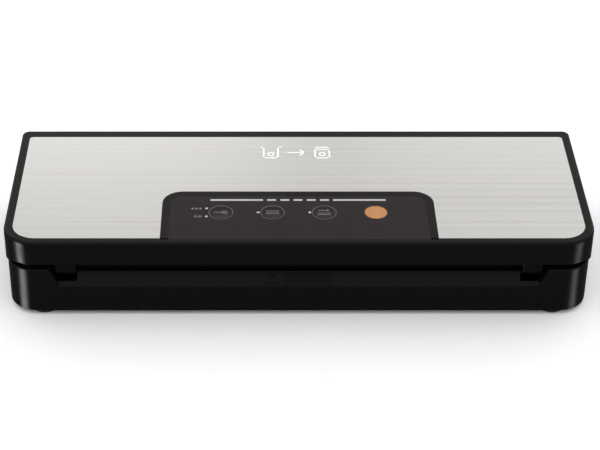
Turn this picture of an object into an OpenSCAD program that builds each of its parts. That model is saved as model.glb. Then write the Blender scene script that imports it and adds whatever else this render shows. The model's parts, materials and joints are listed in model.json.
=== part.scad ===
// Countertop vacuum sealer for kitchen bags, with its lid closed and not yet latched.
// The origin is on the table under the middle of the lid; -Y is the front, +Z is up.

/* [Overall] */
// Width of the lid, side to side
body_w = 390; // [330:1:480]
// Depth of the lid, front to back
body_d = 141; // [130:1:190]

/* [Heights] */
// Height of the rubber feet
foot_h = 3.2; // [2:0.1:5]
// Height of the base's front wall
front_wall_h = 20; // [19:0.5:26]
// Rise of the sloping ramp behind the front wall
ramp_rise = 7.8; // [7:0.1:10]
// Height of the ramp's lip on top of the front wall
ramp_lip = 1; // [0.6:0.1:2]
// Open height between the shelf and the lid, where the bag goes in
bag_gap = 10.5; // [10:0.1:14]
// Height of the lid's front face
lid_face_h = 17.5; // [17:0.5:24]

/* [Lid] */
// Wall of the lid shell
lid_wall = 2.5; // [2:0.1:4]
// Radius of the lid's front corners
lid_front_r = 21; // [12:1:30]
// Radius of the lid's rear corners
lid_rear_r = 5; // [3:0.5:10]
// Rounding of the lid's top edge
lid_edge_r = 1.8; // [1:0.1:2.4]
// How far the side skirts hang below the lid's front edge
skirt_drop = 7; // [5:0.5:8]
// Length of the raised stretch of skirt at the front
skirt_rise_len = 21; // [15:1:30]
// Thickness of the lid liner
liner_t = 2.5; // [2:0.1:4]

/* [Steel plate] */
// Thickness of the steel plate
plate_t = 0.6; // [0.4:0.1:1]
// Rim of the lid in front of the plate and beside it
plate_rim = 5.9; // [4:0.1:10]
// Rim of the lid behind the plate
plate_rear_rim = 8.5; // [6:0.5:14]
// Radius of the plate's front corners
plate_front_r = 16; // [10:1:24]
// Radius of the plate's rear corners
plate_rear_r = 2.5; // [1:0.5:8]

/* [Control panel] */
// Width of the cut-out in the plate
panel_w = 182.5; // [160:1:220]
// Depth of the cut-out in the plate
panel_d = 55.8; // [50:0.5:66]
// Radius of the cut-out's rear corners
panel_r = 13.5; // [9:0.5:18]
// Width of the frame round the glossy panel
frame_band = 5.4; // [3:0.2:8]
// Distance between neighbouring buttons
button_pitch = 34.5; // [28:0.5:38]
// Distance from the plate's front edge to the row of buttons
button_row = 30.3; // [26:0.1:32]
// Diameter of a button cap
button_dia = 15; // [12:0.1:18]
// Travel of a button
button_travel = 0.7; // [0.4:0.1:0.8]
// Gap between a button cap and its ring
button_gap = 0.15; // [0.1:0.05:0.3]
// Width of the ring round a button
ring_w = 0.6; // [0.4:0.1:1.2]

/* [Base] */
// Wall of the base housing
base_wall = 2.5; // [2:0.1:4]
// How far the base stands inside the lid's outline
base_inset = 1.2; // [0.8:0.1:3]
// Thickness of the bottom cover
cover_t = 2.5; // [2:0.1:4]
// Thickness of the deck
deck_t = 2.5; // [2:0.1:4]
// Half of the clear width of the front recess, at its foot
recess_half = 159; // [130:1:165]
// Diameter of a rubber foot
foot_dia = 19; // [14:0.5:26]
// Distance from the side of the lid to the centre of a foot
foot_side = 25; // [18:1:40]

/* [Sealing] */
// Width of a gasket
gasket_w = 6; // [4:0.5:8]
// Gap between the two gaskets when the lid is not pressed down
gasket_gap = 0.3; // [0.2:0.1:0.6]
// Depth of the vacuum trough's floor below the shelf
trough_drop = 7; // [5:0.5:8]
// Width of the seal bar, front to back
seal_bar_w = 11; // [9:0.5:14]
// Width of the heating strip
strip_w = 3; // [2:0.5:5]

/* [Hinge] */
// Distance from the lid's rear face to the hinge axis
hinge_inset = 4; // [3.8:0.1:5]
// Radius of a hinge pin
hinge_pin_r = 2; // [1.5:0.1:2.2]
// Running clearance of the pins in the base lugs
pin_clear = 0.05; // [0.02:0.01:0.1]
// Distance from the side of the lid to a hinge station
hinge_side = 55; // [40:1:80]
// Width of a base lug
lug_w = 12; // [8:1:16]

/* [Latch] */
// Distance from the side of the lid to the middle of a hook
hook_side = 40.5; // [38:0.5:46]
// Width of a hook
hook_w = 13; // [8:0.5:16]
// Travel of a release button
release_travel = 3; // [2:0.5:4]

/* [Pump] */
// Diameter of the pump motor
motor_dia = 24; // [20:0.5:24]
// Length of the pump motor
motor_len = 34; // [28:1:40]
// Radius of the motor shaft
shaft_r = 1; // [0.8:0.1:1.2]
// Offset of the pump's eccentric
crank_throw = 1.5; // [1:0.1:2]
// Outer diameter of the hoses
hose_dia = 6; // [5:0.5:7]
// Bore radius of the mains inlet bush
inlet_r = 3.6; // [3:0.1:4]

/* [Hidden] */
$fn = 48;

// Colours
black = "#1b1a1a";
dark = "#262424";
gloss = "#332d2d";
grey = "#8a8a88";
steel = "#d2d1cd";
orange = "#c88f58";
silicone = "#b9b6ae";
copper = "#b87843";
board_green = "#2f5f3c";
white = "#e4e2dc";

// Small distances that several pieces share
fit = 0.3;              // gap between two fixed pieces
over = 1;               // how far a cutter runs past the face it cuts

// Heights above the table
shelf_z = foot_h + front_wall_h + ramp_rise;
ramp_z = foot_h + front_wall_h;
ramp_foot_z = ramp_z - ramp_lip;
lid_z = shelf_z + bag_gap;
top_z = lid_z + lid_face_h;
skirt_z = lid_z - skirt_drop;
side_top_z = skirt_z - 0.5;
post_z = shelf_z + 5.5;
skirt_foot = 3;         // flat stretch of the lid's edge before the skirt slopes down
floor_z = foot_h + cover_t;
deck_under_z = shelf_z - deck_t;
ramp_under_z = shelf_z - base_wall - 0.8;
hinge_z = lid_z - 4;
rear_top_z = hinge_z - hinge_inset - fit;
plate_z = top_z - 0.8;
panel_z = top_z - 1.4;
panel_top_z = top_z - 0.2;
bed_z = panel_z - 2.6;
board_z = top_z - 10;
board_t = 1.6;
dome_h = 5.5;

// Distances front to back
lid_front = -body_d / 2;
lid_rear = body_d / 2;
base_front = lid_front + base_inset;
base_rear = lid_rear - base_inset;
hinge_y = lid_rear - hinge_inset;
plate_front = lid_front + plate_rim;
plate_rear = lid_rear - plate_rear_rim;
ramp_back = base_front + 7;
post_end = lid_front + skirt_rise_len
    - (post_z - side_top_z) * (skirt_rise_len - skirt_foot) / skirt_drop;
deck_front = base_front + 12.6;
liner_rear = hinge_y - hinge_inset - 0.4;
button_y = plate_front + button_row;
status_y = plate_front + panel_d - 10.5;
panel_reach = 1.5;

// Distances side to side
base_half = body_w / 2 - base_inset;
inner_half = base_half - base_wall;
hook_x = body_w / 2 - hook_side;
slot_play = 1;
mark_h = 0.35;
tab_w = 40;
hinge_x = body_w / 2 - hinge_side;
post_slant = 6.5;

// Gasket ring, trough and seal bar
gasket_half = hook_x + 18;
gasket_y0 = deck_front + 15.7;
gasket_y1 = lid_rear - 48.5;
gasket_r = 14;
gasket_top = lid_z - 3.8;
gasket_rim_z = shelf_z + 3;
trough_wall = 2;
trough_r = 2;
trough_half = gasket_half - 12;
trough_y0 = gasket_y0 + 9;
trough_y1 = gasket_y1 - 9;
trough_z = shelf_z - trough_drop;
seal_y = deck_front + 7.7;
seal_half = hook_x + 0.5;
seal_top = lid_z - 4.1;
pressure_z = lid_z - 3.8;

// Pump bay
motor_y = lid_rear - 24.5;
motor_z = floor_z + motor_dia / 2 + 0.8;
motor_x0 = -100;
pump_x0 = motor_x0 + motor_len;
pump_len = 26;
pump_w = 26;
crank_r = 5;
crank_w = 4;
crank_x = pump_x0 + 9;
pump_top = motor_z + 8;
run_clear = 0.05;
hose_r = hose_dia / 2;
hose_z = floor_z + 8.5;
spigot_r = hose_r - 1;
intake_x = trough_half - 40;
intake_y = (trough_y0 + trough_y1) / 2;
elbow_w = 12;
valve_x = intake_x - 44;
board_x0 = 18;
board_w = 108;
board_y0 = lid_rear - 44;
board_d = 36;
board_stand = 3.5;
wires_at = [board_x0 + 6, board_y0 + 18];
inlet_x = hinge_x + 22;
inlet_z = floor_z + 11;
inlet_seat = inlet_r + 1.4;
inlet_flange = 1;

// Latch
arm_z = floor_z + 7;
arm_t = 3;
arm_y0 = base_front + 30;
arm_w = 12;
release_proud = 0.9;
release_h = 11;
release_w = 24;
finger_x = hook_x - 6;
finger_w = 5;
spring_len = 14;
spring_r = 3;
spring_wire = 0.5;
spring_y = arm_y0 + arm_w / 2;

// Screws
screw_r = 1.25;
screw_head_r = 2.7;
screw_head_h = 1.6;
boss_r = 3.4;

// Buttons and lights
light_r = 1;
ring_r = button_dia / 2 + button_gap + ring_w;
flange_r = button_dia / 2 + 1;
flange_t = 1;
cap_proud = 0.15;
button_seat = 0.05;
plunger_gap = 0.05;
stem_r = 2.2;
tact_h = 3.2;
plunger_h = 0.3;
// the switch plungers stand at the height they have when pressed
stem_foot = board_z + board_t + tact_h + plunger_h + plunger_gap + button_travel;
bar_t = 2;
bar_inner = 23.6;
bar_outer = 59.1;
dash_w = 6;
dash_pitch = 8.9;
dot_gap = 0.4;
dot_off = ring_r + dot_gap + light_r;
dot_pair = 4.8;

button_xs = [for (i = [0 : 3]) (i - 1.5) * button_pitch];
dots = [[button_xs[0] - dot_off, dot_pair], [button_xs[0] - dot_off, -dot_pair],
        [button_xs[1] - dot_off, 0], [button_xs[2] - dot_off, 0]];
housing_boss = [for (s = [-1, 1]) each [
    [s * (inner_half - 13), deck_front + 4], [s * (inner_half - 11), hinge_y - 14],
    [s * (hook_x - 22), deck_front + 4], [s * 30, deck_front + 4]]];
liner_boss = [for (s = [-1, 1]) each [
    [s * (inner_half - 8), plate_front + 11], [s * (inner_half - 8), hinge_y - 12],
    [s * (inner_half - 8), 0], [s * 75, plate_front + 4], [s * 60, hinge_y - 12]]];
panel_screw_at = [for (s = [-1, 1]) each [[s * 64, plate_front + 14], [s * 64, plate_front + 42]]];
board_screw_at = [for (x = [5, board_w - 5]) each [[board_x0 + x, board_y0 + 4],
                  [board_x0 + x, board_y0 + board_d - 4]]];
foot_at = [for (s = [-1, 1]) each [
    [s * (body_w / 2 - foot_side), base_front + foot_dia / 2 + 1.6],
    [s * (body_w / 2 - foot_side), base_rear - foot_dia / 2 - 1.6]]];

// ---- Shared shapes ----

// Rectangle centred on x, from y0 to y1, with one radius for its front corners and one for its rear
module plan(half, y0, y1, rf, rr) {
    translate([-half, y0 + rf]) square([2 * half, y1 - y0 - rf - rr]);
    translate([-half + rf, y0]) square([2 * (half - rf), y1 - y0]);
    translate([-half + rr, y0 + rf]) square([2 * (half - rr), y1 - y0 - rf]);
    for (s = [-1, 1]) {
        translate([s * (half - rf), y0 + rf]) circle(rf);
        translate([s * (half - rr), y1 - rr]) circle(rr);
    }
}

// The lid's outline, drawn in by a distance
module lid_plan(inset = 0) {
    plan(body_w / 2 - inset, lid_front + inset, lid_rear - inset,
        lid_front_r - inset, max(lid_rear_r - inset, 0.5));
}

// The base's outline, drawn in by a distance
module base_plan(inset = 0) {
    plan(base_half - inset, base_front + inset, base_rear - inset,
        lid_front_r - base_inset - inset, max(lid_rear_r - base_inset - inset, 0.5));
}

// Tongue-shaped outline that runs back from y0, with round rear corners
module tongue(w, y0, d, r) {
    translate([-w / 2, y0]) square([w, d - r]);
    translate([-w / 2 + r, y0]) square([w - 2 * r, d]);
    for (s = [-1, 1]) translate([s * (w / 2 - r), y0 + d - r]) circle(r);
}

// Racetrack ring at the gaskets' place, widened on both sides
module gasket_plan(grow = 0) {
    difference() {
        plan(gasket_half + grow, gasket_y0 - grow, gasket_y1 + grow, gasket_r, gasket_r);
        plan(gasket_half - gasket_w - grow, gasket_y0 + gasket_w + grow,
            gasket_y1 - gasket_w - grow, gasket_r - gasket_w, gasket_r - gasket_w);
    }
}

// Slab of an outline between two heights
module slab(z0, z1) {
    translate([0, 0, z0]) linear_extrude(z1 - z0) children();
}

// Block between two corners
module block(a, b) {
    translate(a) cube(b - a);
}

// Side profile in Y and Z, carried across the object to x = half on both sides
module across(half, points) {
    rotate([90, 0, 90]) translate([0, 0, -half]) linear_extrude(2 * half) polygon(points);
}

// Cylinder along X from x0
module rod_x(x0, y, z, r, len) {
    translate([x0, y, z]) rotate([0, 90, 0]) cylinder(r = r, h = len);
}

// Cylinder along Y from y0
module rod_y(x, y0, z, r, len) {
    translate([x, y0, z]) rotate([-90, 0, 0]) cylinder(r = r, h = len);
}

// Screw with its head below and its tip up
module screw(len) {
    cylinder(r = screw_r, h = len);
    difference() {
        translate([0, 0, -screw_head_h]) cylinder(r = screw_head_r, h = screw_head_h);
        for (a = [0, 90]) rotate(a) translate([-1.6, -0.3, -screw_head_h - over])
            cube([3.2, 0.6, over + 0.9]);
    }
}

// Mitred tube through points that lie in one level plane
module level_tube(points, r, sides = 8) {
    n = len(points);
    function unit(v) = v / norm(v);
    function way(i) = unit(points[min(i + 1, n - 1)] - points[max(i - 1, 0)]);
    rings = [for (i = [0 : n - 1]) let (t = way(i), side = [-t[1], t[0], 0]) each
        [for (k = [0 : sides - 1]) let (a = 360 * k / sides)
            points[i] + r * (cos(a) * side + sin(a) * [0, 0, 1])]];
    faces = concat([[for (k = [0 : sides - 1]) k]],
        [for (i = [0 : n - 2], k = [0 : sides - 1]) let (a = i * sides, b = (k + 1) % sides)
            [a + k, a + sides + k, a + sides + b, a + b]],
        [[for (k = [sides - 1 : -1 : 0]) (n - 1) * sides + k]]);
    polyhedron(rings, faces, convexity = 6);
}

// Route along corner points with each corner rounded by a short curve
function rounded(p, r, steps = 5) = concat([p[0]],
    [for (i = [1 : len(p) - 2]) let (
        a = p[i] + r * (p[i - 1] - p[i]) / norm(p[i - 1] - p[i]),
        b = p[i] + r * (p[i + 1] - p[i]) / norm(p[i + 1] - p[i]))
        each [for (k = [0 : steps]) let (t = k / steps)
            (1 - t) * (1 - t) * a + 2 * t * (1 - t) * p[i] + t * t * b]],
    [p[len(p) - 1]]);

// ---- Base ----

// Side profile of what is cut away above the base's walls
module base_top_cut() {
    across(base_half + over, [
        [base_front - over, post_z], [post_end, post_z], [lid_front + skirt_rise_len, side_top_z],
        [hinge_y - 5, side_top_z], [hinge_y - 4, rear_top_z], [base_rear + over, rear_top_z],
        [base_rear + over, post_z + 10], [base_front - over, post_z + 10]]);
}

// Front recess seen from the front, with its two ends sloping outwards; drawn in by a distance
module recess_space(inset = 0) {
    foot = recess_half - inset;
    head = foot + post_slant;
    translate([0, deck_front + over, 0]) rotate([90, 0, 0])
        linear_extrude(deck_front - base_front + 2 * over)
            polygon([[-foot, ramp_foot_z], [foot, ramp_foot_z],
                [head, post_z + over], [-head, post_z + over]]);
}

module base_housing() color(black) {
    difference() {
        union() {
            difference() {
                slab(foot_h, post_z) base_plan();
                base_top_cut();
                recess_space();
                // hollow behind the front wall, open below and above
                intersection() {
                    slab(foot_h - over, post_z + over) base_plan(base_wall);
                    across(base_half, [
                        [base_front, foot_h - over], [base_front, ramp_z - base_wall],
                        [ramp_back - 0.6, ramp_under_z], [deck_front, ramp_under_z],
                        [deck_front, post_z + over], [base_rear, post_z + over],
                        [base_rear, foot_h - over]]);
                }
                // hollow inside each corner post
                for (s = [-1, 1]) mirror([s < 0 ? 1 : 0, 0, 0])
                    block([recess_half + post_slant + 3, base_front + 7, ramp_z - 3],
                        [inner_half - 3, deck_front + over, post_z - base_wall]);
            }
            // ledges that carry the deck
            for (s = [-1, 1]) mirror([s < 0 ? 1 : 0, 0, 0])
                block([inner_half - 4, deck_front + 10, deck_under_z - 3],
                    [inner_half + 0.5, hinge_y - 10, deck_under_z]);
            block([-inner_half + 12, base_rear - base_wall - 4, deck_under_z - 3],
                [inner_half - 12, base_rear - base_wall + 0.5, deck_under_z]);
            // hinge lugs on the rear wall
            for (s = [-1, 1]) {
                translate([s * hinge_x - lug_w / 2, 0, 0]) {
                    rod_x(0, hinge_y, hinge_z, hinge_inset - 0.4, lug_w);
                    block([0, hinge_y - hinge_inset + 0.4, rear_top_z], [lug_w, base_rear, hinge_z]);
                    block([0, base_rear - base_wall, rear_top_z - 4], [lug_w, base_rear, hinge_z]);
                }
            }
        }
        for (s = [-1, 1]) {
            rod_x(s * hinge_x - lug_w / 2 - over, hinge_y, hinge_z,
                hinge_pin_r + pin_clear, lug_w + 2 * over);
            // opening for a release button
            translate([s * (inner_half + base_wall / 2), arm_y0 + arm_w / 2, arm_z + arm_t / 2])
                cube([base_wall + 2 * over, release_w + 2 * fit, release_h + 2 * fit], center = true);
        }
        // square seat of the mains inlet
        block([inlet_x - inlet_seat, base_rear - base_wall - over, inlet_z - inlet_seat],
            [inlet_x + inlet_seat, base_rear + over, inlet_z + inlet_seat]);
    }
}

// Sill in front of the deck: it rests on the front wall, and the hooks pass through it
module front_ramp() color(black) {
    difference() {
        union() {
            intersection() {
                across(base_half, [
                    [base_front, ramp_foot_z], [base_front, ramp_z], [ramp_back, shelf_z],
                    [deck_front, shelf_z], [deck_front, ramp_under_z], [ramp_back - 0.6, ramp_under_z],
                    [base_front + base_wall, ramp_foot_z]]);
                recess_space(fit);
            }
            // tabs that reach under the deck
            for (x = [-80, 80])
                block([x - tab_w / 2, deck_front - 2, deck_under_z - 2],
                    [x + tab_w / 2, deck_front + 6, deck_under_z]);
            ramp_marks();
        }
        for (s = [-1, 1]) translate([s * hook_x - hook_w / 2 - slot_play, 0, 0])
            block([0, base_front + 2.6, ramp_foot_z - over],
                [hook_w + 2 * slot_play, base_front + 8, shelf_z + over]);
    }
}

// Raised triangle and two rows of short ribs, lying on the slope of the ramp
module ramp_marks() {
    slope = atan2(ramp_rise, ramp_back - base_front);
    sunk = 0.4;
    translate([0, base_front, ramp_z]) rotate([slope, 0, 0]) {
        translate([-18, 1.4, -sunk]) linear_extrude(sunk + mark_h) difference() {
            polygon([[-4.2, 0], [4.2, 0], [0, 7.4]]);
            polygon([[-2.5, 1.1], [2.5, 1.1], [0, 5.4]]);
        }
        for (i = [0 : 9]) {
            translate([-10.6 + i * 3.2, 1.2, -sunk]) cube([2.2, 2.8, sunk + mark_h]);
            translate([-10.6 + i * 3.2, 5.4, -sunk]) cube([2.2, 3.4, sunk + mark_h]);
        }
    }
}

module bottom_cover() color(dark) {
    difference() {
        union() {
            slab(foot_h, floor_z) base_plan(base_wall + fit);
            // pillars for the power board
            for (p = board_screw_at) translate([p[0], p[1], floor_z - 0.5])
                cylinder(r = 2.8, h = board_stand + 0.5);
            // stops for the latch springs
            for (s = [-1, 1]) mirror([s < 0 ? 1 : 0, 0, 0])
                block([finger_x - spring_len - 3, spring_y - 5, floor_z - 0.5],
                    [finger_x - spring_len, spring_y + 5, arm_z + arm_t + 2]);
            // guides beside the release arms, clear of the buttons' flanges when they are pressed in
            for (s = [-1, 1], y = [arm_y0 - 2.3, arm_y0 + arm_w + fit])
                mirror([s < 0 ? 1 : 0, 0, 0])
                    block([hook_x + 4, y, floor_z - 0.5],
                        [inner_half - 11 - release_travel, y + 2, arm_z + arm_t]);
        }
        for (p = housing_boss) translate([p[0], p[1], foot_h - over]) {
            cylinder(r = screw_r + fit, h = cover_t + 2 * over);
            cylinder(r = screw_head_r + fit, h = over + screw_head_h);
        }
        for (p = foot_at) translate([p[0], p[1], foot_h - over]) cylinder(r = 3, h = over + 1.5);
        for (p = board_screw_at) translate([p[0], p[1], floor_z - over])
            cylinder(r = screw_r, h = board_stand + 2 * over);
        // cooling slots under the pump and the board
        for (x = [motor_x0 - 30, board_x0 + 20], i = [0 : 7])
            block([x + i * 8, motor_y - 14, foot_h - over], [x + i * 8 + 3, motor_y + 10, floor_z + over]);
    }
}

module rubber_feet() color("#2b2a2a") {
    for (p = foot_at) translate([p[0], p[1], 0]) {
        rotate_extrude() polygon([[0, 0], [foot_dia / 2 - 0.8, 0], [foot_dia / 2, 0.8],
            [foot_dia / 2, foot_h], [3, foot_h], [3, foot_h + 1.5], [0, foot_h + 1.5]]);
    }
}

module deck() color(black) {
    difference() {
        union() {
            intersection() {
                union() {
                    slab(deck_under_z, shelf_z) translate([-inner_half, deck_front + fit])
                        square([2 * inner_half, base_rear - deck_front]);
                    // raised rear platform over the pump bay
                    block([-inner_half, gasket_y1 + 2.5, deck_under_z],
                        [inner_half, base_rear, rear_top_z]);
                }
                slab(deck_under_z - over, rear_top_z + over) base_plan(base_wall + fit);
            }
            slab(shelf_z - 0.5, gasket_rim_z) gasket_plan(1.8);
            // walls of the vacuum trough
            slab(trough_z, shelf_z - 0.5) trough_plan(trough_wall);
            // screw bosses
            for (p = housing_boss) translate([p[0], p[1], floor_z])
                cylinder(r = boss_r, h = deck_under_z - floor_z + 0.5);
        }
        // bay roof is raised from below to clear the pump
        block([-inner_half + 14, gasket_y1 + 4.5, deck_under_z - over],
            [inner_half - 14, base_rear - base_wall - 4.6, rear_top_z - deck_t]);
        slab(gasket_rim_z - 2, gasket_rim_z + over) gasket_plan();
        slab(trough_z - over, shelf_z + over) trough_plan();
        for (p = housing_boss) translate([p[0], p[1], floor_z - over])
            cylinder(r = screw_r, h = 12 + over);
        // hole for the lid switch's plunger
        translate([inner_half - 6, hinge_y - 26, deck_under_z - over]) cylinder(r = 1.8, h = deck_t + 5);
        // hole for the wires to the lid
        translate([wires_at[0], wires_at[1], deck_under_z - over]) cylinder(r = 2.6, h = deck_t + 5);
    }
}

// Outline of the vacuum trough, widened on all sides
module trough_plan(grow = 0) {
    plan(trough_half + grow, trough_y0 - grow, trough_y1 + grow, trough_r + grow, trough_r + grow);
}

// Plate welded under the walls of the vacuum trough; the air intake sits in it
module trough_floor() color(dark) slab(trough_z - trough_wall, trough_z) difference() {
    trough_plan(trough_wall);
    translate([intake_x, intake_y]) circle(5);
}

module lower_gasket() color("#3a3a3c")
    slab(gasket_rim_z - 2, gasket_top - gasket_gap) gasket_plan();

module seal_bar() color("#23211f") difference() {
    block([-seal_half, seal_y - seal_bar_w / 2, shelf_z],
        [seal_half, seal_y + seal_bar_w / 2, seal_top - 0.6]);
    for (s = [-1, 1]) mirror([s < 0 ? 1 : 0, 0, 0])
        block([seal_half - 5, seal_y - 4, shelf_z - over], [seal_half - 1, seal_y + 4, seal_top]);
}

module heating_strip() color(steel)
    block([-seal_half + 5, seal_y - strip_w / 2, seal_top - 0.6],
        [seal_half - 5, seal_y + strip_w / 2, seal_top - 0.4]);

module seal_tape() color("#8d6f4a") difference() {
    block([-seal_half + 6, seal_y - seal_bar_w / 2 + 0.5, seal_top - 0.6],
        [seal_half - 6, seal_y + seal_bar_w / 2 - 0.5, seal_top - 0.2]);
    block([-seal_half, seal_y - strip_w / 2, seal_top - over],
        [seal_half, seal_y + strip_w / 2, seal_top - 0.4]);
}

module strip_terminals() color("#b79a55")
    for (s = [-1, 1]) mirror([s < 0 ? 1 : 0, 0, 0])
        block([seal_half - 5, seal_y - 3, shelf_z], [seal_half - 1, seal_y + 3, seal_top - 0.4]);

module air_intake() color(grey) {
    elbow_top = trough_z - trough_wall - 0.2;
    translate([intake_x, intake_y, 0]) difference() {
        union() {
            translate([0, 0, elbow_top - 0.5]) cylinder(r = 4.8, h = trough_wall + 3);
            block([-elbow_w / 2, -elbow_w / 2, hose_z - 5], [elbow_w / 2, elbow_w / 2, elbow_top]);
            rod_x(-elbow_w / 2 - 10, 0, hose_z, spigot_r, 11);
            rod_y(0, -elbow_w / 2 - 8, hose_z, spigot_r, 9);
        }
        translate([0, 0, hose_z]) cylinder(r = 2, h = 30);
        for (a = [0 : 45 : 135]) rotate(a)
            block([-6, -0.4, trough_z + 0.8], [6, 0.4, trough_z + 8]);
    }
}

// ---- Pump ----

module motor_can() color(steel) difference() {
    union() {
        rod_x(motor_x0, motor_y, motor_z, motor_dia / 2, motor_len);
        rod_x(motor_x0 - 2, motor_y, motor_z, 4, 3);
    }
    rod_x(motor_x0 + 1, motor_y, motor_z, motor_dia / 2 - 1, motor_len - 2);
    rod_x(motor_x0 - 1, motor_y, motor_z, shaft_r + run_clear, motor_len + 2);
}

module motor_rotor() color(copper) {
    rod_x(motor_x0 - 0.5, motor_y, motor_z, shaft_r, crank_x + crank_w - motor_x0 + 3);
    rod_x(motor_x0 + 7, motor_y, motor_z, 3, motor_len - 11);
    // three wound poles
    for (a = [0 : 120 : 240]) translate([motor_x0 + 10, motor_y, motor_z])
        rotate([a, 0, 0]) translate([0, -2.2, 0]) cube([motor_len - 18, 4.4, motor_dia / 2 - 2]);
}

module pump_eccentric() color(white) difference() {
    rod_x(crank_x, motor_y + crank_throw, motor_z, crank_r, crank_w);
    rod_x(crank_x - over, motor_y, motor_z, shaft_r, crank_w + 2 * over);
}

module pump_body() color(dark) difference() {
    block([pump_x0, motor_y - pump_w / 2, floor_z + 0.5],
        [pump_x0 + pump_len, motor_y + pump_w / 2, pump_top]);
    // crank room, open at the top for the rod
    rod_x(pump_x0 + 3, motor_y, motor_z, 9.2, pump_len - 6);
    block([pump_x0 + 3, motor_y - 6, motor_z], [pump_x0 + pump_len - 3, motor_y + 6, pump_top + over]);
    rod_x(pump_x0 - over, motor_y, motor_z, shaft_r + 0.4, 5);
}

module diaphragm_rod() color("#3b3b3f") {
    difference() {
        union() {
            rod_x(crank_x, motor_y, motor_z, crank_r + crank_throw + 1.8, crank_w);
            block([crank_x, motor_y - 2, motor_z + 5], [crank_x + crank_w, motor_y + 2, pump_top + 0.5]);
        }
        rod_x(crank_x - over, motor_y, motor_z, crank_r + crank_throw + 0.4, crank_w + 2 * over);
    }
    translate([pump_x0 + pump_len / 2, motor_y, pump_top]) cylinder(r = 12, h = 1);
}

module pump_cap() color("#2f2d2d") {
    cap_h = rear_top_z - deck_t - pump_top - 1.4;
    translate([0, 0, pump_top + 1])
        block([pump_x0, motor_y - pump_w / 2, 0], [pump_x0 + pump_len, motor_y + pump_w / 2, cap_h]);
    // inlet block and spigot beside the body
    block([pump_x0 + pump_len, motor_y - 6, hose_z - 4],
        [pump_x0 + pump_len + 3, motor_y + 6, pump_top + 1.5]);
    rod_x(pump_x0 + pump_len + 2.5, motor_y - 2, hose_z, spigot_r, 8);
}

module pump_bracket() color(grey) {
    difference() {
        block([motor_x0 + 4, motor_y - motor_dia / 2 - 2.8, floor_z],
            [motor_x0 + motor_len - 6, motor_y + motor_dia / 2 + 2.8, motor_z]);
        rod_x(motor_x0, motor_y, motor_z, motor_dia / 2, motor_len);
        for (s = [-1, 1]) translate([motor_x0 + 14, motor_y + s * (motor_dia / 2 + 1.7), floor_z - over])
            cylinder(r = 0.9, h = 8);
    }
}

module pump_screws() color(steel)
    for (s = [-1, 1]) translate([motor_x0 + 14, motor_y + s * (motor_dia / 2 + 1.7), 0]) {
        translate([0, 0, floor_z]) cylinder(r = 0.9, h = 7);
    }

module suction_hose() color(silicone) {
    a = [pump_x0 + pump_len + 4, motor_y - 2, hose_z];
    lane = (trough_y1 + gasket_y1) / 2 - 6;
    b = [intake_x - elbow_w / 2 - 1, intake_y, hose_z];
    difference() {
        level_tube(rounded([a, [a[0] + 14, a[1], hose_z], [a[0] + 22, lane, hose_z],
            [b[0] - 26, lane, hose_z], [b[0] - 16, b[1], hose_z], b], 6), hose_r, 12);
        rod_x(a[0] - over, a[1], hose_z, spigot_r, 8 - 1.5 + over);
        rod_x(b[0] - 9, b[1], hose_z, spigot_r, 9 + over);
    }
}

module solenoid_valve() color(steel) {
    block([valve_x, intake_y - 25, floor_z], [valve_x + 18, intake_y - 11, hose_z + 5.5]);
    rod_x(valve_x + 17.5, intake_y - 18, hose_z, spigot_r, 7);
}

module vent_hose() color(silicone) {
    a = [valve_x + 18.6, intake_y - 18, hose_z];
    b = [intake_x, intake_y - elbow_w / 2 - 0.6, hose_z];
    difference() {
        level_tube(rounded([a, [b[0], a[1], hose_z], b], 7), hose_r, 12);
        rod_x(a[0] - over, a[1], hose_z, spigot_r, 6 + over);
        rod_y(b[0], b[1] - 7.4, hose_z, spigot_r, 7.4 + over);
    }
}

module vacuum_switch() color(white) {
    translate([motor_x0 - 28, motor_y, floor_z]) {
        cylinder(r = 9, h = 9);
        translate([0, 0, 8.5]) cylinder(r = 3, h = 5);
    }
}

// ---- Electronics in the base ----

module power_board() color(board_green) difference() {
    translate([board_x0, board_y0, floor_z + board_stand]) cube([board_w, board_d, board_t]);
    for (p = board_screw_at) translate([p[0], p[1], floor_z]) cylinder(r = screw_r + 0.2, h = 12);
}

module transformer() color("#c9a227") {
    z = floor_z + board_stand + board_t;
    block([board_x0 + 12, board_y0 + 9, z], [board_x0 + 36, board_y0 + 29, z + 3]);
    block([board_x0 + 15, board_y0 + 6, z + 2.5], [board_x0 + 33, board_y0 + 32, z + 14]);
}

module capacitors() color("#27324f")
    for (i = [0 : 2])
        translate([board_x0 + 46, board_y0 + 8 + i * 10, floor_z + board_stand + board_t])
            cylinder(r = 4, h = 13);

module relay() color("#2a4a8a")
    translate([board_x0 + 56, board_y0 + 8, floor_z + board_stand + board_t]) cube([19, 15, 14]);

module heat_sink() color(grey)
    translate([board_x0 + 80, board_y0 + 8, floor_z + board_stand + board_t]) {
        cube([14, 20, 3]);
        for (i = [0 : 4]) translate([0, i * 4.5, 2.5]) cube([14, 1.5, 10]);
    }

module board_screws() color(steel)
    for (p = board_screw_at) translate([p[0], p[1], floor_z + board_stand + board_t])
        mirror([0, 0, 1]) screw(4.5);

module lid_switch() color(dark) {
    translate([inner_half - 6, hinge_y - 26, 0]) {
        translate([-3.5, -6, deck_under_z - 12]) cube([6, 12, 9]);
        translate([0, 0, deck_under_z - 3.5]) cylinder(r = 1.5, h = 8);
    }
}

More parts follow.
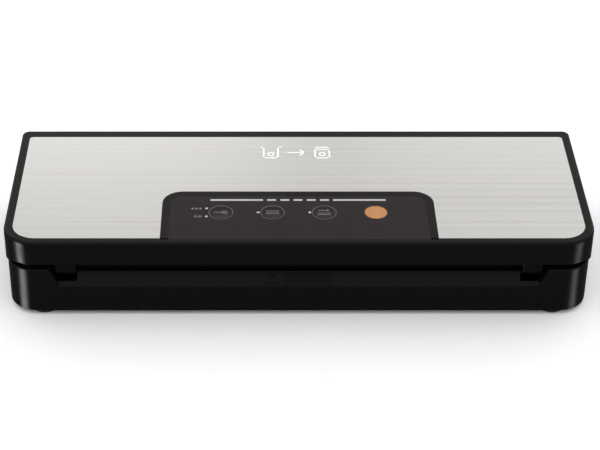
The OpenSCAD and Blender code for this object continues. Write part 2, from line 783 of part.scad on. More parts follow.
module wire_harness() color("#a33b2e") {
    z = floor_z + board_stand + board_t / 2;
    for (i = [0 : 2]) {
        from = [motor_x0, motor_y + 4 - i * 2.6, z];
        lane = base_rear - base_wall - 5 + i * 1.7;
        to = [board_x0, board_y0 + 20 + i * 4, z];
        level_tube(rounded([from, [from[0] - 6 - i * 2.5, from[1], z], [from[0] - 6 - i * 2.5, lane, z],
            [to[0] - 9 + i * 2.5, lane, z], [to[0] - 9 + i * 2.5, to[1], z], to], 1.8), 0.8);
    }
    translate([wires_at[0], wires_at[1], z + board_t / 2]) cylinder(r = 2, h = rear_top_z + 1 - z);
}

// Bush with a square neck in its seat and a square flange outside
module mains_inlet() color(dark) difference() {
    neck = inlet_seat - 0.1;
    flange = inlet_seat + 1.5;
    union() {
        rod_y(inlet_x, base_rear - base_wall - 5, inlet_z, neck, 5.5);
        block([inlet_x - neck, base_rear - base_wall, inlet_z - neck],
            [inlet_x + neck, base_rear + 0.5, inlet_z + neck]);
        block([inlet_x - flange, base_rear, inlet_z - flange],
            [inlet_x + flange, base_rear + inlet_flange, inlet_z + flange]);
    }
    rod_y(inlet_x, base_rear - base_wall - 6, inlet_z, inlet_r, base_wall + 8);
}

// ---- Latch ----

// Release button of the right side, with its arm and the finger that catches the hook
module release_piece() {
    face_x = base_half + release_proud;
    block([inner_half - 2, spring_y - release_w / 2, arm_z + arm_t / 2 - release_h / 2],
        [face_x, spring_y + release_w / 2, arm_z + arm_t / 2 + release_h / 2]);
    block([inner_half - 3, spring_y - release_w / 2 - 2, arm_z + arm_t / 2 - release_h / 2 - 1.2],
        [inner_half - 0.6, spring_y + release_w / 2 + 2, arm_z + arm_t / 2 + release_h / 2 + 1.2]);
    block([finger_x, arm_y0, arm_z], [inner_half - 2.5, arm_y0 + arm_w, arm_z + arm_t]);
    block([finger_x, base_front + 4, arm_z], [finger_x + finger_w, arm_y0 + 1, arm_z + arm_t]);
    block([finger_x, base_front + 4, arm_z], [finger_x + finger_w, base_front + 8, ramp_z - 3]);
    // seat of the spring
    block([finger_x, spring_y - 4, arm_z], [finger_x + 2, spring_y + 4, arm_z + arm_t + 3]);
}

module release_button_right() color(dark) release_piece();

module release_button_left() color(dark) mirror([1, 0, 0]) release_piece();

// Coil spring along X between a stop and an arm
module latch_spring() {
    translate([finger_x - spring_len, spring_y, arm_z + arm_t / 2 + 0.5]) rotate([0, 90, 0])
        for (i = [0 : 6]) translate([0, 0, spring_wire + i * (spring_len - 2 * spring_wire) / 6])
            rotate_extrude() translate([spring_r, 0]) circle(spring_wire);
}

module latch_spring_right() color(steel) latch_spring();

module latch_spring_left() color(steel) mirror([1, 0, 0]) latch_spring();

module housing_screws() color(steel)
    for (p = housing_boss) translate([p[0], p[1], foot_h + screw_head_h]) screw(11);

// ---- Lid ----

// The lid's outer block with a rounded top edge
module lid_block() {
    hull() for (a = [0 : 22.5 : 90])
        slab(skirt_z, top_z - lid_edge_r * (1 - sin(a))) lid_plan(lid_edge_r * (1 - cos(a)));
}

// Side profile of what is cut away below the lid
module lid_under_cut() {
    across(body_w / 2 + over, [
        [lid_front - over, skirt_z - over], [lid_front - over, lid_z], [lid_front + skirt_foot, lid_z],
        [lid_front + skirt_rise_len, skirt_z], [hinge_y - 8, skirt_z], [hinge_y - 5, hinge_z],
        [lid_rear + over, hinge_z], [lid_rear + over, skirt_z - over]]);
}

module lid_shell() color(black) {
    knuckle_w = 8;
    reach = lug_w / 2 + 0.4;
    difference() {
        union() {
            difference() {
                lid_block();
                slab(skirt_z - over, top_z - lid_wall) lid_plan(lid_wall);
                lid_under_cut();
            }
            // thicker bed under the control panel
            block([-panel_w / 2 - 4, plate_front - 1, bed_z],
                [panel_w / 2 + 4, plate_front + panel_d + 2, top_z - lid_wall + 0.5]);
            // inner rear wall
            block([-inner_half, liner_rear + fit, lid_z],
                [inner_half, liner_rear + fit + 2, top_z - lid_wall + 0.5]);
            // hinge knuckles
            for (s = [-1, 1], k = [-1, 1])
                translate([s * hinge_x + (k < 0 ? -reach - knuckle_w : reach), 0, 0]) {
                    rod_x(0, hinge_y, hinge_z, hinge_inset - 0.1, knuckle_w);
                    block([0, hinge_y - hinge_inset + 0.1, hinge_z],
                        [knuckle_w, lid_rear - 1, top_z - lid_wall + 0.5]);
                }
            for (p = liner_boss) translate([p[0], p[1], lid_z + liner_t])
                cylinder(r = boss_r, h = top_z - lid_wall - lid_z - liner_t + 0.5);
            for (p = panel_screw_at) translate([p[0], p[1], board_z + board_t])
                cylinder(r = 2.8, h = bed_z - board_z - board_t + 0.5);
        }
        // seats of the plate and the panel
        slab(plate_z, top_z + over)
            plan(body_w / 2 - plate_rim, plate_front, plate_rear, plate_front_r, plate_rear_r);
        slab(panel_z, top_z + over)
            tongue(panel_w, plate_front - panel_reach, panel_d + panel_reach, panel_r);
        for (x = button_xs) translate([x, button_y, bed_z - over])
            cylinder(r = flange_r + 0.5, h = top_z - bed_z + 2 * over);
        slab(bed_z - over, top_z) lights_plan();
        for (p = liner_boss) translate([p[0], p[1], lid_z]) cylinder(r = screw_r, h = 9);
        for (p = panel_screw_at) translate([p[0], p[1], board_z]) cylinder(r = screw_r, h = 6);
        for (s = [-1, 1]) {
            // notch over a base lug
            block([s * hinge_x - reach, liner_rear + 2, hinge_z - over],
                [s * hinge_x + reach, lid_rear + over, hinge_z + hinge_inset + 0.6]);
            rod_x(s * hinge_x - reach - knuckle_w - over, hinge_y, hinge_z,
                hinge_pin_r, 2 * (reach + knuckle_w + over));
        }
    }
}

// Outlines of the status bar's lights and of the small round lights
module bars_plan() {
    for (s = [-1, 1])
        translate([s * (bar_inner + bar_outer) / 2, status_y])
            square([bar_outer - bar_inner, bar_t], center = true);
    for (i = [-2 : 2]) translate([i * dash_pitch, status_y]) square([dash_w, bar_t], center = true);
}

module dots_plan() {
    for (p = dots) translate([p[0], button_y + p[1]]) circle(light_r);
}

module lights_plan() {
    bars_plan();
    dots_plan();
}

module steel_plate() color(steel) slab(plate_z, plate_z + plate_t) difference() {
    plan(body_w / 2 - plate_rim, plate_front, plate_rear, plate_front_r, plate_rear_r);
    tongue(panel_w, plate_front - 20, panel_d + 20, panel_r);
}

module panel_frame() color(dark) slab(panel_z, panel_top_z + 0.1) difference() {
    tongue(panel_w, plate_front, panel_d, panel_r);
    tongue(panel_w - 2 * frame_band, plate_front - over, panel_d - frame_band + over, panel_r - frame_band);
}

module control_panel() color(gloss) slab(panel_z, panel_top_z) difference() {
    tongue(panel_w - 2 * frame_band, plate_front - panel_reach + fit,
        panel_d - frame_band + panel_reach - fit, panel_r - frame_band);
    for (x = button_xs) translate([x, button_y]) circle(ring_r);
    lights_plan();
}

module button_rings() color(grey) slab(panel_z, panel_top_z + 0.1)
    for (x = button_xs) translate([x, button_y]) difference() {
        circle(ring_r);
        circle(ring_r - ring_w);
    }

module status_light_guides() color(white) slab(bed_z, panel_top_z + 0.02) bars_plan();

module indicator_lights() color(white) slab(bed_z, panel_top_z + 0.08) dots_plan();

module control_board() color(board_green) difference() {
    block([-72, plate_front + 8, board_z], [72, plate_front + 49, board_z + board_t]);
    for (p = panel_screw_at) translate([p[0], p[1], board_z - over]) cylinder(r = screw_r + 0.2, h = 4);
}

module panel_screws() color(steel)
    for (p = panel_screw_at) translate([p[0], p[1], board_z]) screw(5.5);

module tact_switches() color("#101010")
    for (x = button_xs) translate([x, button_y, board_z + board_t]) {
        translate([-3, -3, 0]) cube([6, 6, tact_h]);
        translate([0, 0, tact_h - 0.5]) cylinder(r = 1.7, h = 0.5 + plunger_h);
    }

// Button cap with its retaining flange and stem; i counts from the left
module button_piece(i) {
    flange_top = panel_z - button_seat;
    translate([button_xs[i], button_y, 0]) rotate_extrude() polygon([
        [0, stem_foot], [stem_r, stem_foot], [stem_r, flange_top - flange_t],
        [flange_r, flange_top - flange_t], [flange_r, flange_top], [button_dia / 2, flange_top],
        [button_dia / 2, panel_top_z + cap_proud - 0.15], [button_dia / 2 - 0.3, panel_top_z + cap_proud],
        [0, panel_top_z + cap_proud]]);
}

module food_button() color(gloss) button_piece(0);

module seal_button() color(gloss) button_piece(1);

module vacuum_seal_button() color(gloss) button_piece(2);

module start_button() color(orange) button_piece(3);

module liner_outline() {
    intersection() {
        lid_plan(lid_wall + fit);
        translate([-body_w, lid_front]) square([2 * body_w, liner_rear - lid_front]);
    }
}

module lid_liner() color(dark) {
    difference() {
        union() {
            slab(lid_z, lid_z + liner_t) liner_outline();
            // roof of the vacuum chamber
            slab(lid_z + liner_t - 0.5, lid_z + dome_h)
                plan(trough_half - 2, trough_y0 + 4, trough_y1 - 4, 8, 8);
            // channel that holds the pressure strip
            block([-seal_half, seal_y - seal_bar_w / 2, lid_z + liner_t - 0.5],
                [seal_half, seal_y + seal_bar_w / 2, lid_z + liner_t + 1]);
        }
        slab(lid_z - over, lid_z + dome_h - 2)
            plan(trough_half - 4, trough_y0 + 6, trough_y1 - 6, 6, 6);
        slab(lid_z - over, lid_z + 1) gasket_plan();
        block([-seal_half + 2, seal_y - seal_bar_w / 2 + 1.5, lid_z - over],
            [seal_half - 2, seal_y + seal_bar_w / 2 - 1.5, lid_z + 2]);
        for (p = liner_boss) translate([p[0], p[1], lid_z - over]) {
            cylinder(r = screw_r + 0.2, h = liner_t + 2 * over);
            cylinder(r = screw_head_r + 0.2, h = over + screw_head_h);
        }
        block([-8.5, liner_rear - 2.3, lid_z - over], [8.5, liner_rear - 0.7, lid_z + liner_t + over]);
        for (s = [-1, 1]) translate([s * hook_x - hook_w / 2 + 2, 0, 0])
            block([0, base_front + 3.4, lid_z - over],
                [hook_w - 4, base_front + 6.4, lid_z + liner_t + over]);
    }
}

module upper_gasket() color("#3a3a3c") slab(gasket_top, lid_z + 1) gasket_plan();

module pressure_strip() color("#8f3a2c")
    block([-seal_half + 2, seal_y - seal_bar_w / 2 + 1.5, pressure_z],
        [seal_half - 2, seal_y + seal_bar_w / 2 - 1.5, lid_z + 2]);

module lid_hooks() color(black)
    for (s = [-1, 1]) translate([s * hook_x - hook_w / 2, 0, 0]) {
        // tab through the liner, plate and forward barb
        block([2, base_front + 3.4, lid_z], [hook_w - 2, base_front + 6.4, lid_z + liner_t]);
        block([0, base_front + 3.4, shelf_z + 1], [hook_w, base_front + 7.2, lid_z]);
    }

module hinge_pins() color(steel)
    for (s = [-1, 1]) rod_x(s * hinge_x - lug_w / 2 - 8.4, hinge_y, hinge_z, hinge_pin_r, lug_w + 16.8);

module liner_screws() color(steel)
    for (p = liner_boss) translate([p[0], p[1], lid_z + screw_head_h]) screw(7);

module lid_cable() color(grey) {
    block([-8, plate_front + 45, board_z - 1], [8, liner_rear - 1, board_z]);
    block([-8, liner_rear - 2, lid_z], [8, liner_rear - 1, board_z - 0.5]);
}

base_housing();
front_ramp();
bottom_cover();
rubber_feet();
deck();
trough_floor();
lower_gasket();
seal_bar();
heating_strip();
seal_tape();
strip_terminals();
air_intake();
motor_can();
pump_body();
diaphragm_rod();
pump_cap();
pump_bracket();
suction_hose();
vent_hose();
solenoid_valve();
vacuum_switch();
power_board();
transformer();
capacitors();
relay();
heat_sink();
lid_switch();
wire_harness();
mains_inlet();
latch_spring_left();
latch_spring_right();
housing_screws();
pump_screws();
board_screws();
release_button_left();
release_button_right();
motor_rotor();
pump_eccentric();
lid_shell();
steel_plate();
panel_frame();
control_panel();
button_rings();
status_light_guides();
indicator_lights();
control_board();
tact_switches();
lid_liner();
upper_gasket();
pressure_strip();
lid_hooks();
hinge_pins();
liner_screws();
panel_screws();
lid_cable();
food_button();
seal_button();
vacuum_seal_button();
start_button();
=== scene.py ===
# %% [markdown]
# # A countertop vacuum sealer
# This lesson dresses a working model of a kitchen vacuum sealer: a low black base, a hinged lid with a
# brushed steel top, a glossy panel with four buttons, and the pump and seals inside.
# The working model already holds every part at its true size and place, so nothing here moves or grows.
# We round what a mould would round, model the small parts that deserve more shape, and give each part
# the finish that its maker would choose.

# %% Load the working model
import json
import math

import bmesh
import bpy
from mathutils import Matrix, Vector


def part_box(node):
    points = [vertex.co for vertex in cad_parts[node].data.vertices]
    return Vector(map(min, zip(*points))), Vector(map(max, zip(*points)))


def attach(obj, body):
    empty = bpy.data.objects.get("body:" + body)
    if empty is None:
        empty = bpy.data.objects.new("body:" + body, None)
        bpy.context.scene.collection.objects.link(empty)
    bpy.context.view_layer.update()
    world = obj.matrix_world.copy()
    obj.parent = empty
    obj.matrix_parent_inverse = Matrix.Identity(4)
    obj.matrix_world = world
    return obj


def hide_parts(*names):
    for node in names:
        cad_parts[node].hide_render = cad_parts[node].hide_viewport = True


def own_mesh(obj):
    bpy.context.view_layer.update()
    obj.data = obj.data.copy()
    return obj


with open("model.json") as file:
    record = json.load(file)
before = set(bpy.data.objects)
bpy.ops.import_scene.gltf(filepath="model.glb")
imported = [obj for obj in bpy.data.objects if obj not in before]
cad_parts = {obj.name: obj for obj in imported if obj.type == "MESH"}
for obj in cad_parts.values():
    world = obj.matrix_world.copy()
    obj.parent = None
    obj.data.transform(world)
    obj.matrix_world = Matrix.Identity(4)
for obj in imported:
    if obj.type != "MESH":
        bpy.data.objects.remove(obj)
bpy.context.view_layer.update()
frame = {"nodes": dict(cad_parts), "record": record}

MM = 0.001

# %% [markdown]
# ## Small helpers for work at the bench
# Blender's operators act on whatever is selected, and the loaded parts arrive selected.
# So each helper first selects only its own piece. Faces and edges are then picked by where they are.

# %% Selecting, picking and modifiers
def only(*pieces):
    """Select these pieces and nothing else; the first one becomes active."""
    bpy.ops.object.select_all(action="DESELECT")
    for piece in pieces:
        piece.select_set(True)
    bpy.context.view_layer.objects.active = pieces[0]


def edit(piece, mode="FACE"):
    """Go into edit mode on one piece with nothing picked."""
    only(piece)
    bpy.ops.object.mode_set(mode="EDIT")
    bpy.ops.mesh.select_mode(type=mode)
    bpy.ops.mesh.select_all(action="DESELECT")


def leave():
    bpy.ops.object.mode_set(mode="OBJECT")


def pick(piece, kind, test):
    """In edit mode, select the verts, edges or faces that pass a test of their middle and themselves."""
    mesh = bmesh.from_edit_mesh(piece.data)
    for part in getattr(mesh, kind):
        if kind == "verts":
            middle = part.co
        elif kind == "edges":
            middle = (part.verts[0].co + part.verts[1].co) / 2
        else:
            middle = part.calc_center_median()
        if test(middle, part):
            part.select_set(True)
    mesh.select_flush_mode()
    bmesh.update_edit_mesh(piece.data)


def modify(piece, kind, **settings):
    """Add a modifier, set it up and apply it."""
    only(piece)
    modifier = piece.modifiers.new(kind.lower(), kind)
    for key, value in settings.items():
        setattr(modifier, key, value)
    bpy.ops.object.modifier_apply(modifier=modifier.name)


SMOOTH = math.radians(35)


def settle(piece):
    """Put the piece's place into its mesh, turn its faces outwards and smooth its gentle edges."""
    only(piece)
    bpy.ops.object.transform_apply(location=True, rotation=True, scale=True)
    edit(piece)
    bpy.ops.mesh.select_all(action="SELECT")
    bpy.ops.mesh.normals_make_consistent(inside=False)
    leave()
    bpy.ops.object.shade_smooth_by_angle(angle=SMOOTH)


def again(piece, move):
    """A copy of a settled piece, with its own mesh, moved by this much."""
    only(piece)
    bpy.ops.object.duplicate(linked=False)
    twin = bpy.context.object
    twin.location = move
    bpy.ops.object.transform_apply(location=True, rotation=False, scale=False)
    return twin


def joined(name, pieces):
    """Join several meshes into one named piece."""
    only(*pieces)
    if len(pieces) > 1:
        bpy.ops.object.join()
    pieces[0].name = name
    return pieces[0]


# %% [markdown]
# ## Finishes
# Every finish is a Principled shader fed by small patterns on the piece's own coordinates, so a pattern
# stays put when the piece moves. A single flat colour never looks like a real material: moulded plastic
# has a fine spark-eroded grain, steel is brushed, foam has pores. Noise at the right scale makes all of
# them. One fine noise gives the grain, and a broad one gives slow changes of colour and gloss.

# %% A finish with colour variation, uneven gloss and grain
FINISHES = {}
BROAD = 0.06  # scale of the broad noise, as a share of the fine one's
DARK_END, LIGHT_END = 0.35, 0.65  # where the mixed noise gives its darkest and lightest colour
SHINY_END, DULL_END = 0.3, 0.7  # where the broad noise gives the shiniest and the dullest spots
SMOOTHEST = 0.02


def finish(name, colour, roughness, grain, bump=0.15, vary=0.12, metallic=0.0, specular=0.5,
           stretch=(1, 1, 1), uneven=0.1):
    """grain is the size of the pattern in metres, and stretch squeezes it along an axis."""
    made = bpy.data.materials.new(name)
    made.use_nodes = True
    nodes, links = made.node_tree.nodes, made.node_tree.links
    shader = nodes["Principled BSDF"]
    shader.inputs["Metallic"].default_value = metallic
    shader.inputs["Specular IOR Level"].default_value = specular
    where = nodes.new("ShaderNodeTexCoord")
    turn = nodes.new("ShaderNodeMapping")
    turn.inputs["Scale"].default_value = stretch
    links.new(where.outputs["Object"], turn.inputs["Vector"])
    fine = nodes.new("ShaderNodeTexNoise")
    fine.inputs["Scale"].default_value = 1 / grain
    fine.inputs["Detail"].default_value = 3
    broad = nodes.new("ShaderNodeTexNoise")
    broad.inputs["Scale"].default_value = BROAD / grain
    broad.inputs["Detail"].default_value = 2
    for noise in (fine, broad):
        links.new(turn.outputs["Vector"], noise.inputs["Vector"])
    # colour: the two noises shift it a little lighter and darker
    both = nodes.new("ShaderNodeMix")
    both.data_type = "FLOAT"
    both.inputs[0].default_value = 0.5
    links.new(fine.outputs["Fac"], both.inputs[2])
    links.new(broad.outputs["Fac"], both.inputs[3])
    ramp = nodes.new("ShaderNodeValToRGB")
    ramp.color_ramp.elements[0].position = DARK_END
    ramp.color_ramp.elements[1].position = LIGHT_END
    ramp.color_ramp.elements[0].color = [c * (1 - vary) for c in colour] + [1]
    ramp.color_ramp.elements[1].color = [min(c * (1 + vary), 1) for c in colour] + [1]
    links.new(both.outputs[0], ramp.inputs["Fac"])
    links.new(ramp.outputs["Color"], shader.inputs["Base Color"])
    # gloss: slightly uneven, as handling and moulding leave it
    gloss = nodes.new("ShaderNodeMapRange")
    gloss.inputs["From Min"].default_value = SHINY_END
    gloss.inputs["From Max"].default_value = DULL_END
    gloss.inputs["To Min"].default_value = max(roughness * (1 - uneven), SMOOTHEST)
    gloss.inputs["To Max"].default_value = min(roughness * (1 + uneven), 1)
    links.new(broad.outputs["Fac"], gloss.inputs["Value"])
    links.new(gloss.outputs["Result"], shader.inputs["Roughness"])
    # grain: a shallow bump
    relief = nodes.new("ShaderNodeBump")
    relief.inputs["Strength"].default_value = bump
    relief.inputs["Distance"].default_value = grain / 4
    links.new(fine.outputs["Fac"], relief.inputs["Height"])
    links.new(relief.outputs["Normal"], shader.inputs["Normal"])
    FINISHES[name] = made
    return made


# %% [markdown]
# ### The plastics
# The shell is black ABS from a mould with a fine satin texture: dark, faintly warm, and with only a weak
# sheen, so it stays black under bright lamps. The parts inside get a plainer mould finish.

# %% Black shell, dark inner mouldings and the panel
finish("black_shell", (0.0046, 0.0039, 0.0039), 0.32, 0.35 * MM, bump=0.10, specular=0.12)
finish("dark_inner", (0.012, 0.0105, 0.0105), 0.42, 0.4 * MM, bump=0.14, specular=0.2)
finish("release_black", (0.010, 0.009, 0.009), 0.38, 0.3 * MM, bump=0.12, specular=0.25)
finish("panel_trim", (0.0075, 0.0060, 0.0060), 0.30, 0.3 * MM, bump=0.06, specular=0.10)
finish("panel_gloss", (0.0110, 0.0072, 0.0076), 0.16, 1.2 * MM, bump=0.0, specular=0.20)
finish("phenolic", (0.016, 0.013, 0.011), 0.38, 0.5 * MM, bump=0.12, vary=0.3)
finish("grey_plastic", (0.21, 0.21, 0.20), 0.45, 0.4 * MM)
finish("white_nylon", (0.62, 0.60, 0.54), 0.42, 0.5 * MM, vary=0.05)
finish("switch_black", (0.006, 0.006, 0.006), 0.4, 0.3 * MM, bump=0.1)
finish("relay_blue", (0.010, 0.050, 0.230), 0.28, 0.6 * MM, bump=0.05)
finish("capacitor_blue", (0.010, 0.017, 0.075), 0.25, 0.5 * MM, bump=0.05)
print("plastics:", ", ".join(FINISHES))

# %% [markdown]
# ### Printed and lit parts
# The start button is orange plastic with a fine speckle. The other marks are pale ink, apart from a brown
# painted shadow round the start button, and the lights are frosted guides that glow only when the machine
# runs.

# %% Orange button, ink and light guides
finish("orange_button", (0.400, 0.185, 0.062), 0.38, 0.5 * MM, bump=0.08, vary=0.10, specular=0.35)
finish("ring_print", (0.080, 0.070, 0.072), 0.5, 0.2 * MM, bump=0.04, vary=0.08)
finish("ink_grey", (0.17, 0.155, 0.155), 0.55, 0.2 * MM, bump=0.04, vary=0.1)
# painted shadow: this brown stands for the dark halo of shade round the start button, not for ink
finish("painted_shadow_brown", (0.045, 0.018, 0.009), 0.5, 0.2 * MM, bump=0.04, vary=0.1, specular=0.2)
finish("ink_white", (0.90, 0.90, 0.89), 0.5, 0.2 * MM, bump=0.03, vary=0.04)
finish("lamp_white", (0.40, 0.378, 0.386), 0.35, 0.4 * MM, bump=0.04, vary=0.06)

# %% [markdown]
# ### Rubber, foam and cloth
# Foam is noise with a strong bump, silicone is nearly smooth, and the release tape is glass cloth:
# two wave patterns at right angles make its weave.

# %% Feet, gaskets, hoses and the coated tape
finish("foot_rubber", (0.018, 0.018, 0.018), 0.75, 0.4 * MM, bump=0.25, specular=0.3)
finish("gasket_foam", (0.030, 0.030, 0.032), 0.85, 0.5 * MM, bump=0.6, vary=0.35, specular=0.25)
finish("red_silicone", (0.190, 0.022, 0.012), 0.5, 0.6 * MM, bump=0.1, vary=0.12)
finish("hose_silicone", (0.47, 0.45, 0.38), 0.4, 0.8 * MM, bump=0.08, vary=0.08)
finish("wire_red", (0.30, 0.020, 0.012), 0.4, 0.5 * MM, bump=0.08)
release_tape = finish("release_tape", (0.22, 0.115, 0.045), 0.45, 0.6 * MM, bump=0.1, vary=0.15)


ONE_BAND = 0.314  # a wave of this scale repeats once in each metre


def weave(made, pitch):
    """Lay a woven bump over a finish: one wave for the warp and one for the weft, pitch metres apart."""
    nodes, links = made.node_tree.nodes, made.node_tree.links
    where = nodes.new("ShaderNodeTexCoord")
    threads = []
    for axis in ("X", "Y"):
        wave = nodes.new("ShaderNodeTexWave")
        wave.bands_direction = axis
        wave.inputs["Scale"].default_value = ONE_BAND / pitch
        links.new(where.outputs["Object"], wave.inputs["Vector"])
        threads.append(wave.outputs["Fac"])
    cloth = nodes.new("ShaderNodeMath")
    cloth.operation = "MAXIMUM"
    for i, thread in enumerate(threads):
        links.new(thread, cloth.inputs[i])
    relief = next(n for n in nodes if n.type == "BUMP")
    relief.inputs["Distance"].default_value = pitch / 5
    relief.inputs["Strength"].default_value = 0.6
    links.new(cloth.outputs[0], relief.inputs["Height"])


weave(release_tape, 0.8 * MM)

# %% [markdown]
# ### Metals
# The steel top is brushed from side to side. Brushing is noise squeezed so that its grains run long
# along X and thin across it. Hidden metals are zinc plated or drawn bright.

# %% Brushed steel, plated steel, copper and the rest
finish("steel_top", (0.80, 0.785, 0.76), 0.30, 0.22 * MM, bump=0.05, vary=0.045, metallic=1.0,
       stretch=(0.006, 1, 1), uneven=0.12)
finish("zinc_steel", (0.52, 0.52, 0.51), 0.35, 0.8 * MM, bump=0.06, vary=0.15, metallic=1.0)
finish("spring_steel", (0.56, 0.56, 0.56), 0.22, 0.5 * MM, bump=0.05, metallic=1.0, stretch=(0.1, 1, 1))
finish("contact_brass", (0.60, 0.42, 0.14), 0.28, 0.4 * MM, bump=0.06, metallic=1.0)
finish("heater", (0.62, 0.58, 0.52), 0.30, 0.3 * MM, bump=0.06, metallic=1.0, stretch=(0.02, 1, 1))
finish("sink_aluminium", (0.50, 0.50, 0.51), 0.38, 0.3 * MM, bump=0.06, metallic=1.0,
       stretch=(0.05, 1, 1))
finish("rotor_copper", (0.52, 0.20, 0.07), 0.32, 0.3 * MM, bump=0.35, metallic=1.0, stretch=(0.1, 1, 1))
finish("coil_yellow", (0.60, 0.38, 0.03), 0.4, 0.4 * MM, bump=0.12, stretch=(1, 1, 0.2))
finish("board_green", (0.010, 0.080, 0.025), 0.3, 0.9 * MM, bump=0.1, vary=0.3)
print("finishes:", len(FINISHES))

# %% [markdown]
# ## Rounding what a mould rounds
# The working model has knife-sharp edges, and a knife-sharp edge never catches light. A moulded edge has
# a radius of a few tenths of a millimetre, and that thin highlight is what tells the eye it is real.
# We could bevel each edge by hand. Instead each part is copied, its loose triangles are merged and
# its flat areas dissolved into whole faces, and a bevel runs along every edge that turns sharply.

# %% Copy a part, clean it and round its edges
SAME_POINT = 0.002 * MM
FLAT = math.radians(0.4)
SHARP = math.radians(40)  # edges that turn more than this are bevelled
CREASE = math.radians(32)  # and edges that turn less than this are shaded smooth
FACE_WEIGHT = 80  # how strongly the big faces decide the shading


def copied(node, name):
    """A clean copy of a part's mesh: merged, with its flat areas as single faces."""
    part = frame["nodes"][node]
    piece = bpy.data.objects.new(name, part.data.copy())
    bpy.context.scene.collection.objects.link(piece)
    piece.data.materials.clear()
    edit(piece, "VERT")
    bpy.ops.mesh.select_all(action="SELECT")
    bpy.ops.mesh.remove_doubles(threshold=SAME_POINT)
    bpy.ops.mesh.dissolve_limited(angle_limit=FLAT)
    leave()
    return piece


def body_of(node):
    """The body that a part belongs to."""
    bodies = frame["record"]["behaviour"]["bodies"]
    return next(body for body, members in bodies.items() if node in members)


def slot_of(node):
    """The material slot of a part, which is also the name of its finish."""
    return next(part["material_slot"] for part in frame["record"]["subparts"] if part["node"] == node)


STOOD_FOR = set()


def hand_in(piece, body, slot, material, *nodes):
    """Give the piece its finish and body, and let it stand for its parts."""
    piece.data.materials.clear()
    piece.data.materials.append(FINISHES[material])
    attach(piece, body)
    if nodes:
        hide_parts(*nodes)
        STOOD_FOR.update(nodes)
    return piece


def roll(piece, width, test):
    """Round only the edges that pass a test of their middle and themselves."""
    edit(piece, "EDGE")
    pick(piece, "edges", test)
    bpy.ops.mesh.bevel(offset=width, segments=4, affect="EDGES")
    leave()


def kept_inside(piece, node):
    """Pull in the few points that a wide bevel pushes past the part's own box."""
    low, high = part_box(node)
    for vertex in piece.data.vertices:
        for axis in range(3):
            vertex.co[axis] = min(max(vertex.co[axis], low[axis]), high[axis])


def softened(node, width, segments=2, rolls=()):
    """A part's copy with its sharp edges rounded by a small bevel, after wider rolls on chosen edges."""
    piece = copied(node, "finished_" + node)
    for wide, test in rolls:
        roll(piece, wide, test)
    if width:
        modify(piece, "BEVEL", width=width, segments=segments, limit_method="ANGLE", angle_limit=SHARP,
               use_clamp_overlap=False, miter_outer="MITER_SHARP")
        kept_inside(piece, node)
    only(piece)
    bpy.ops.object.shade_smooth_by_angle(angle=CREASE)
    modify(piece, "WEIGHTED_NORMAL", keep_sharp=True, weight=FACE_WEIGHT)
    return hand_in(piece, body_of(node), slot_of(node), slot_of(node), node)


# %% [markdown]
# ### The mouldings of the case
# The lid shell, the base housing, the ramp and the deck are the big mouldings, with the widest rounding.
# The steel plate is punched sheet, so its edge is only broken, and the panel is a thin glossy film.

# %% Base and ramp: wide rounding on the rim that shows, less elsewhere
OUTER = 0.03  # metres from the middle, measured the way that the wall faces


def outer_rim(middle, edge):
    """An edge between a level top and a wall that faces away from the machine's middle."""
    if len(edge.link_faces) != 2:
        return False
    top, wall = sorted((face.normal for face in edge.link_faces), key=lambda n: -n.z)
    level, upright = top.z > 0.9, abs(wall.z) < 0.1
    outwards = wall.x * middle.x + wall.y * middle.y
    return level and upright and outwards > OUTER


def front_lip(middle, edge):
    """An edge where the sloping ramp turns down into the front wall."""
    normals = [face.normal for face in edge.link_faces]
    if len(normals) != 2:
        return False
    faces_front = min(n.y for n in normals) < -0.95
    slopes = 0.3 < max(n.z for n in normals) < 0.999
    return faces_front and slopes


base = softened("base_housing", 0.4 * MM, rolls=[(1.1 * MM, outer_rim)])
ramp = softened("front_ramp", 0.35 * MM, rolls=[(0.9 * MM, front_lip)])
print("base", len(base.data.polygons), "ramp", len(ramp.data.polygons), "faces")

# %% [markdown]
# The rest of the case needs one small radius each, in millimetres. Big mouldings get up to 0.4, and the
# film of the panel a third of that, because a wide radius on a thin film would round it away.

# %% Shell, deck, liner, panel and plate
for node, width in (("lid_shell", 0.35), ("deck", 0.4), ("trough_floor", 0.3), ("lid_liner", 0.35),
                    ("bottom_cover", 0.4), ("lid_hooks", 0.5), ("panel_frame", 0.3),
                    ("control_panel", 0.12), ("steel_plate", 0.15)):
    piece = softened(node, width * MM)
    print(node, "rounded:", len(piece.data.polygons), "faces")

# %% [markdown]
# ### Parts that show when the lid is up, and the works below
# Foam gaskets have almost round edges, because foam is cut and then swells. The seal bar, the pump and
# the parts on the boards are stiff mouldings and stampings, so each has a radius that suits its size.

# %% Gaskets, seal bar, pump and electronics
for node, width in (("lower_gasket", 1.7), ("upper_gasket", 1.5), ("pressure_strip", 0.9)):
    softened(node, width * MM, segments=4)
for node, width in (("seal_bar", 0.6), ("strip_terminals", 0.2), ("air_intake", 0.25),
                    ("motor_can", 0.7), ("pump_body", 0.5), ("pump_cap", 0.6), ("pump_bracket", 0.3),
                    ("diaphragm_rod", 0.15), ("pump_eccentric", 0.2), ("motor_rotor", 0.2),
                    ("solenoid_valve", 0.5), ("transformer", 0.6), ("relay", 0.6), ("heat_sink", 0.2),
                    ("power_board", 0.15), ("control_board", 0.15), ("lid_switch", 0.3),
                    ("tact_switches", 0.15), ("hinge_pins", 0.3), ("status_light_guides", 0.05),
                    ("suction_hose", 0), ("vent_hose", 0), ("wire_harness", 0), ("lid_cable", 0.2),
                    ("housing_screws", 0.15), ("liner_screws", 0.15), ("panel_screws", 0.12),
                    ("board_screws", 0.12), ("pump_screws", 0.1)):
    softened(node, width * MM)
print("parts rounded so far:", len(STOOD_FOR))

